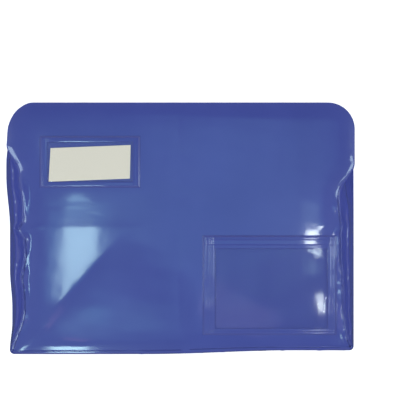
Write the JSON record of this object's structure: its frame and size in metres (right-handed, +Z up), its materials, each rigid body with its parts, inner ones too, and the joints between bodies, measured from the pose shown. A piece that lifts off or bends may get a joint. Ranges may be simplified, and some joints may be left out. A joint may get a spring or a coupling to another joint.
{
  "type": "cash deposit bag",
  "caption": "Flat boxed bag in glossy blue coated nylon with a brass zip in its top edge, a label pocket with a card and a larger document pocket with a clear window",
  "frame": {"origin": "centre of the back face, which lies on the floor; the bounding box's bottom centre", "axes": "+X runs along the bag to the side where the zip comes down, +Y points to the zip edge, +Z goes up from the back face to the front face"},
  "size_m": [0.46, 0.332, 0.0479],
  "materials": {
    "coated_nylon": "glossy coated nylon",
    "pocket_patch": "glossy coated nylon",
    "zip_tape": "woven tape",
    "thread": "polyester thread",
    "brass": "aged brass",
    "clear_film": "clear flexible film",
    "card": "off-white card"
  },
  "bodies": {
    "bag": {"front_panel": "coated_nylon", "back_panel": "coated_nylon", "plain_boxing": "coated_nylon", "zip_facing_front": "coated_nylon", "zip_facing_back": "coated_nylon", "zip_tape_front": "zip_tape", "zip_tape_back": "zip_tape", "zip_teeth_front": "brass", "zip_teeth_back": "brass", "zip_top_stops": "brass", "zip_bottom_stop": "brass", "front_seam_thread": "thread", "back_seam_thread": "thread", "zip_stitch_front": "thread", "zip_stitch_back": "thread", "cross_seam_thread": "thread", "label_pocket_frame": "pocket_patch", "label_pocket_window": "clear_film", "document_pocket_frame": "pocket_patch", "document_pocket_window": "clear_film"},
    "slider": {"slider_body": "brass", "slider_crown": "brass"},
    "puller": {"puller_tab": "brass"},
    "card": {"label_card": "card"}
  },
  "joints": [
    {"name": "zip_slide", "type": "slide", "parent": "bag", "child": "slider", "axis": [1, 0, 0], "range_m": [0, 0.36], "deforming": ["zip_teeth_front", "zip_teeth_back"]},
    {"name": "puller_swing", "type": "hinge", "parent": "slider", "child": "puller", "pos_m": [-0.176, 0.15665, 0.022], "axis": [0, 0, 1], "range_deg": [0, 172]},
    {"name": "card_slide", "type": "slide", "parent": "bag", "child": "card", "axis": [0, 1, 0], "range_m": [0, 0.064]}
  ]
}
